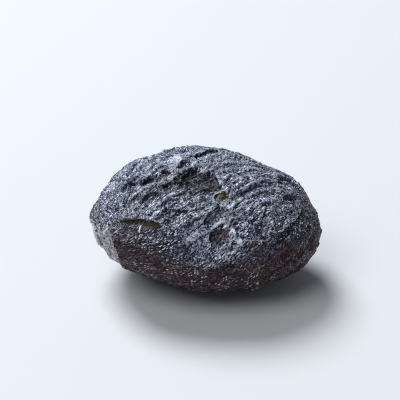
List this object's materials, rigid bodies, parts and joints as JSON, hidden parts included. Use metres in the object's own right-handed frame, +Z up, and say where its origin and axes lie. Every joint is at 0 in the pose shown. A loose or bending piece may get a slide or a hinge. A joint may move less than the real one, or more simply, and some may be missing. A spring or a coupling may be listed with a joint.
{
  "type": "tektite",
  "caption": "Ovoid lump of natural impact glass with wind-worn furrows and pits, and a small worn flat that it rests on.",
  "frame": {"origin": "under the middle of the stone's box, on the surface that it rests on", "axes": "+X along the stone's length towards the drooping heel, -Y towards the face with the deep hollows, +Z up from the flat that it rests on"},
  "size_m": [0.043, 0.031, 0.025],
  "materials": {
    "glass": "satin"
  },
  "bodies": {
    "root": {"tektite": "glass"}
  },
  "joints": []
}
